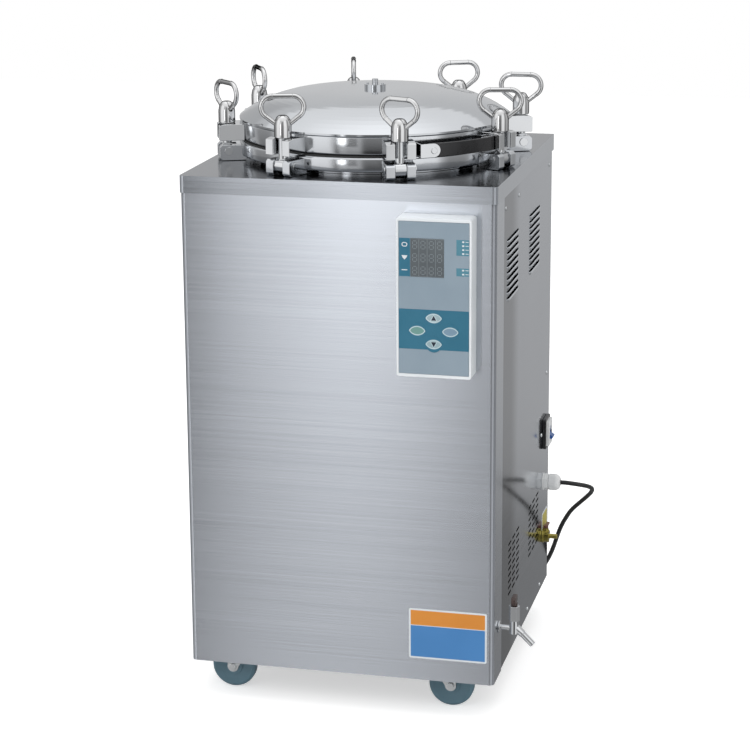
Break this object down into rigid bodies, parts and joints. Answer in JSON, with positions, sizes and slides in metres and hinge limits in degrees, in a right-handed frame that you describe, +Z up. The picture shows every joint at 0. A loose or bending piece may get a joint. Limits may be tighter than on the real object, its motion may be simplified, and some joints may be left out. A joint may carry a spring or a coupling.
{
  "type": "vertical autoclave",
  "caption": "Floor-standing steam steriliser in a stainless cabinet on casters, with a domed lift-off lid held by swing bolts with loop nuts, a control box, drain tap and mains lead.",
  "frame": {"origin": "on the floor, below the middle of the object's box without its lead, which reaches from the cover's left edge to the tip of the drain spout and from the control box to the cover's rear edge", "axes": "+Z up, front with the control box towards -Y, side with the tap and the lead towards +X"},
  "size_m": [0.605, 0.7186, 1.0215],
  "materials": {
    "stainless_panel": "satin brushed",
    "polished_steel": "polished stainless",
    "zinc_steel": "bright zinc",
    "chamber_steel": "satin",
    "white_housing": "smooth moulded",
    "membrane": "fine matte film",
    "display_grey": "glossy",
    "key_teal": "fine matte film",
    "black_plastic": "slightly glossy",
    "white_nylon": "smooth",
    "toggle_blue": "smooth",
    "brass": "dull",
    "lever_brown": "smooth",
    "black_rubber": "matte",
    "seal_rubber": "matte",
    "wheel_rubber": "matte"
  },
  "bodies": {
    "cabinet": {"base_pan": "stainless_panel", "support_frame": "zinc_steel", "front_panel": "stainless_panel", "left_side_panel": "stainless_panel", "right_side_panel": "stainless_panel", "rear_panel": "stainless_panel", "top_cover": "stainless_panel", "chamber_shell": "chamber_steel", "chamber_flange": "polished_steel", "clevis_pins": "polished_steel", "heating_element": "zinc_steel", "chamber_grid": "chamber_steel", "internal_pipes": "brass", "lid_dome": "polished_steel", "lid_ring": "polished_steel", "lid_forks": "polished_steel", "lid_gasket": "seal_rubber", "handle_tabs": "polished_steel", "handle_grips": "black_plastic", "control_box": "white_housing", "membrane_panel": "membrane", "display_window": "display_grey", "breaker_frame": "black_plastic", "breaker_body": "white_nylon", "cable_gland": "white_nylon", "power_cord": "black_rubber", "power_plug": "black_rubber", "exhaust_valve": "brass", "drain_tap": "polished_steel"},
    "bolt_1": {"swing_bolt_1": "polished_steel"},
    "nut_1": {"loop_nut_1": "polished_steel"},
    "bolt_2": {"swing_bolt_2": "polished_steel"},
    "nut_2": {"loop_nut_2": "polished_steel"},
    "bolt_3": {"swing_bolt_3": "polished_steel"},
    "nut_3": {"loop_nut_3": "polished_steel"},
    "bolt_4": {"swing_bolt_4": "polished_steel"},
    "nut_4": {"loop_nut_4": "polished_steel"},
    "bolt_5": {"swing_bolt_5": "polished_steel"},
    "nut_5": {"loop_nut_5": "polished_steel"},
    "bolt_6": {"swing_bolt_6": "polished_steel"},
    "nut_6": {"loop_nut_6": "polished_steel"},
    "bolt_7": {"swing_bolt_7": "polished_steel"},
    "nut_7": {"loop_nut_7": "polished_steel"},
    "bolt_8": {"swing_bolt_8": "polished_steel"},
    "nut_8": {"loop_nut_8": "polished_steel"},
    "fork_1": {"caster_fork_1": "zinc_steel"},
    "wheel_1": {"caster_wheel_1": "wheel_rubber"},
    "fork_2": {"caster_fork_2": "zinc_steel"},
    "wheel_2": {"caster_wheel_2": "wheel_rubber"},
    "fork_3": {"caster_fork_3": "zinc_steel"},
    "wheel_3": {"caster_wheel_3": "wheel_rubber"},
    "fork_4": {"caster_fork_4": "zinc_steel"},
    "wheel_4": {"caster_wheel_4": "wheel_rubber"},
    "key_up": {"key_up": "key_teal"},
    "key_down": {"key_down": "key_teal"},
    "key_left": {"key_left": "key_teal"},
    "key_right": {"key_right": "key_teal"},
    "toggle": {"breaker_toggle": "toggle_blue"},
    "exhaust_handle": {"exhaust_lever": "lever_brown"},
    "drain_handle_body": {"drain_handle": "lever_brown"}
  },
  "joints": [
    {"name": "bolt_1_swing", "type": "hinge", "parent": "cabinet", "child": "bolt_1", "pos_m": [0.06566, -0.21097, 0.906], "axis": [0.9239, 0.3827, 0], "range_deg": [0, 90]},
    {"name": "nut_1_turn", "type": "hinge", "parent": "bolt_1", "child": "nut_1", "pos_m": [0.06566, -0.21097, 0.965], "axis": [0, 0, 1], "continuous": true},
    {"name": "bolt_2_swing", "type": "hinge", "parent": "cabinet", "child": "bolt_2", "pos_m": [0.20096, -0.07567, 0.906], "axis": [0.3827, 0.9239, 0], "range_deg": [0, 90]},
    {"name": "nut_2_turn", "type": "hinge", "parent": "bolt_2", "child": "nut_2", "pos_m": [0.20096, -0.07567, 0.965], "axis": [0, 0, 1], "continuous": true},
    {"name": "bolt_3_swing", "type": "hinge", "parent": "cabinet", "child": "bolt_3", "pos_m": [0.20096, 0.11567, 0.906], "axis": [-0.3827, 0.9239, 0], "range_deg": [0, 90]},
    {"name": "nut_3_turn", "type": "hinge", "parent": "bolt_3", "child": "nut_3", "pos_m": [0.20096, 0.11567, 0.965], "axis": [0, 0, 1], "continuous": true},
    {"name": "bolt_4_swing", "type": "hinge", "parent": "cabinet", "child": "bolt_4", "pos_m": [0.06566, 0.25097, 0.906], "axis": [-0.9239, 0.3827, 0], "range_deg": [0, 90]},
    {"name": "nut_4_turn", "type": "hinge", "parent": "bolt_4", "child": "nut_4", "pos_m": [0.06566, 0.25097, 0.965], "axis": [0, 0, 1], "continuous": true},
    {"name": "bolt_5_swing", "type": "hinge", "parent": "cabinet", "child": "bolt_5", "pos_m": [-0.12568, 0.25097, 0.906], "axis": [-0.9239, -0.3827, 0], "range_deg": [0, 90]},
    {"name": "nut_5_turn", "type": "hinge", "parent": "bolt_5", "child": "nut_5", "pos_m": [-0.12568, 0.25097, 0.965], "axis": [0, 0, 1], "continuous": true},
    {"name": "bolt_6_swing", "type": "hinge", "parent": "cabinet", "child": "bolt_6", "pos_m": [-0.26098, 0.11567, 0.906], "axis": [-0.3827, -0.9239, 0], "range_deg": [0, 90]},
    {"name": "nut_6_turn", "type": "hinge", "parent": "bolt_6", "child": "nut_6", "pos_m": [-0.26098, 0.11567, 0.965], "axis": [0, 0, 1], "continuous": true},
    {"name": "bolt_7_swing", "type": "hinge", "parent": "cabinet", "child": "bolt_7", "pos_m": [-0.26098, -0.07567, 0.906], "axis": [0.3827, -0.9239, 0], "range_deg": [0, 90]},
    {"name": "nut_7_turn", "type": "hinge", "parent": "bolt_7", "child": "nut_7", "pos_m": [-0.26098, -0.07567, 0.965], "axis": [0, 0, 1], "continuous": true},
    {"name": "bolt_8_swing", "type": "hinge", "parent": "cabinet", "child": "bolt_8", "pos_m": [-0.12568, -0.21097, 0.906], "axis": [0.9239, -0.3827, 0], "range_deg": [0, 90]},
    {"name": "nut_8_turn", "type": "hinge", "parent": "bolt_8", "child": "nut_8", "pos_m": [-0.12568, -0.21097, 0.965], "axis": [0, 0, 1], "continuous": true},
    {"name": "caster_1_swivel", "type": "hinge", "parent": "cabinet", "child": "fork_1", "pos_m": [0.12399, -0.192, 0.0927], "axis": [0, 0, 1], "continuous": true},
    {"name": "caster_1_wheel", "type": "hinge", "parent": "fork_1", "child": "wheel_1", "pos_m": [0.14799, -0.192, 0.038], "axis": [0, 1, 0], "continuous": true},
    {"name": "caster_2_swivel", "type": "hinge", "parent": "cabinet", "child": "fork_2", "pos_m": [-0.20601, -0.192, 0.0927], "axis": [0, 0, 1], "continuous": true},
    {"name": "caster_2_wheel", "type": "hinge", "parent": "fork_2", "child": "wheel_2", "pos_m": [-0.23001, -0.192, 0.038], "axis": [0, 1, 0], "continuous": true},
    {"name": "caster_3_swivel", "type": "hinge", "parent": "cabinet", "child": "fork_3", "pos_m": [0.12399, 0.232, 0.0927], "axis": [0, 0, 1], "continuous": true},
    {"name": "caster_3_wheel", "type": "hinge", "parent": "fork_3", "child": "wheel_3", "pos_m": [0.14799, 0.232, 0.038], "axis": [0, 1, 0], "continuous": true},
    {"name": "caster_4_swivel", "type": "hinge", "parent": "cabinet", "child": "fork_4", "pos_m": [-0.20601, 0.232, 0.0927], "axis": [0, 0, 1], "continuous": true},
    {"name": "caster_4_wheel", "type": "hinge", "parent": "fork_4", "child": "wheel_4", "pos_m": [-0.23001, 0.232, 0.038], "axis": [0, 1, 0], "continuous": true},
    {"name": "key_up_press", "type": "slide", "parent": "cabinet", "child": "key_up", "axis": [0, 1, 0], "range_m": [0, 0.0008], "stiffness_N_per_m": 400, "springref_m": -0.0005},
    {"name": "key_down_press", "type": "slide", "parent": "cabinet", "child": "key_down", "axis": [0, 1, 0], "range_m": [0, 0.0008], "stiffness_N_per_m": 400, "springref_m": -0.0005},
    {"name": "key_left_press", "type": "slide", "parent": "cabinet", "child": "key_left", "axis": [0, 1, 0], "range_m": [0, 0.0008], "stiffness_N_per_m": 400, "springref_m": -0.0005},
    {"name": "key_right_press", "type": "slide", "parent": "cabinet", "child": "key_right", "axis": [0, 1, 0], "range_m": [0, 0.0008], "stiffness_N_per_m": 400, "springref_m": -0.0005},
    {"name": "breaker_switch", "type": "hinge", "parent": "cabinet", "child": "toggle", "pos_m": [0.22899, 0.244, 0.354], "axis": [0, -1, 0], "range_deg": [0, 70]},
    {"name": "exhaust_turn", "type": "hinge", "parent": "cabinet", "child": "exhaust_handle", "pos_m": [0.23329, 0.233, 0.174], "axis": [0, 0, -1], "range_deg": [0, 90]},
    {"name": "drain_turn", "type": "hinge", "parent": "cabinet", "child": "drain_handle_body", "pos_m": [0.25479, -0.208, 0.189], "axis": [0, 0, 1], "range_deg": [0, 90]}
  ]
}
